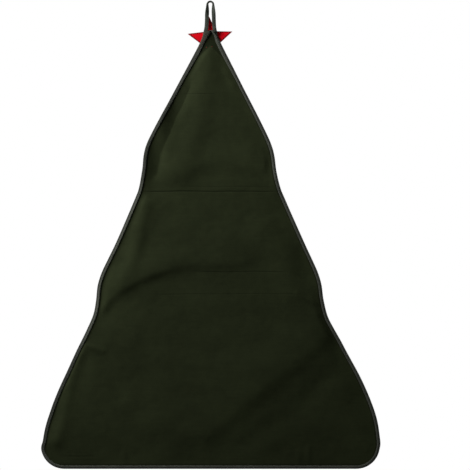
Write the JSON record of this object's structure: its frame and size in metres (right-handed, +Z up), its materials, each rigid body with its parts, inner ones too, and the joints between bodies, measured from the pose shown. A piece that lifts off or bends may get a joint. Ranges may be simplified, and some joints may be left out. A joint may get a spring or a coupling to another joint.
{
  "type": "fabric advent calendar",
  "caption": "Tree-shaped cloth wall hanging with rows of open pockets, felt figures, a star over the tip, a hanging loop and a rod in the casing along its foot.",
  "frame": {"origin": "where the hook bears on the loop, under the inner top of its crown", "axes": "+Z up along the tree's height, +X across its width to the right as seen from the front, -Y out of the pocketed front and +Y out of the plain back"},
  "size_m": [0.725, 0.0194, 1],
  "materials": {
    "back_felt": "matt",
    "front_canvas": "matt",
    "pocket_canvas": "matt",
    "binding_tape": "matt",
    "star_felt": "matt",
    "figure_cream": "matt",
    "figure_gold": "matt",
    "figure_brown": "matt",
    "figure_ginger": "matt",
    "figure_red": "matt",
    "figure_silver": "matt",
    "figure_rose": "matt",
    "figure_orange": "matt",
    "figure_sage": "matt",
    "figure_green": "matt",
    "figure_white": "matt",
    "rod_wood": "bare, sanded"
  },
  "bodies": {
    "calendar": {"back_panel": "back_felt", "front_panel": "front_canvas", "edge_binding": "binding_tape", "star_back": "star_felt", "star_front": "star_felt", "pocket_row_1": "pocket_canvas", "pocket_row_2": "pocket_canvas", "pocket_row_3": "pocket_canvas", "pocket_row_4": "pocket_canvas", "pocket_row_5": "pocket_canvas", "pocket_row_6": "pocket_canvas", "pocket_row_7": "pocket_canvas", "pocket_row_8": "pocket_canvas", "figure_01_candle": "figure_cream", "figure_02_bird": "figure_cream", "figure_03_bell": "figure_gold", "figure_04_holly": "figure_brown", "figure_05_egg_ornament": "figure_cream", "figure_06_gnome": "figure_red", "figure_07_silver_tree": "figure_silver", "figure_08_gingerbread": "figure_ginger", "figure_09_rocking_horse": "figure_brown", "figure_10_mittens": "figure_red", "figure_11_gold_star": "figure_gold", "figure_12_wreath": "figure_rose", "figure_13_fox": "figure_orange", "figure_14_mistletoe": "figure_sage", "figure_15_reindeer": "figure_brown", "figure_16_red_bauble": "figure_red", "figure_17_tall_gnome": "figure_red", "figure_18_gift": "figure_green", "figure_19_pine_sprig": "figure_green", "figure_20_drop_ornament": "figure_red", "figure_21_snowman": "figure_white", "figure_22_orange_slice": "figure_orange", "figure_23_stocking": "figure_red", "figure_24_green_tree": "figure_green", "rod_casing": "pocket_canvas"},
    "loop": {"hanging_loop": "binding_tape"},
    "rod": {"bottom_rod": "rod_wood"}
  },
  "joints": [
    {"name": "loop_fold", "type": "hinge", "parent": "calendar", "child": "loop", "pos_m": [0, 0.00315, -0.0597], "axis": [-1, 0, 0], "range_deg": [0, 165], "stiffness_Nm_per_rad": 0.001},
    {"name": "rod_slide", "type": "slide", "parent": "calendar", "child": "rod", "axis": [1, 0, 0], "range_m": [-0.66, 0.66]}
  ]
}
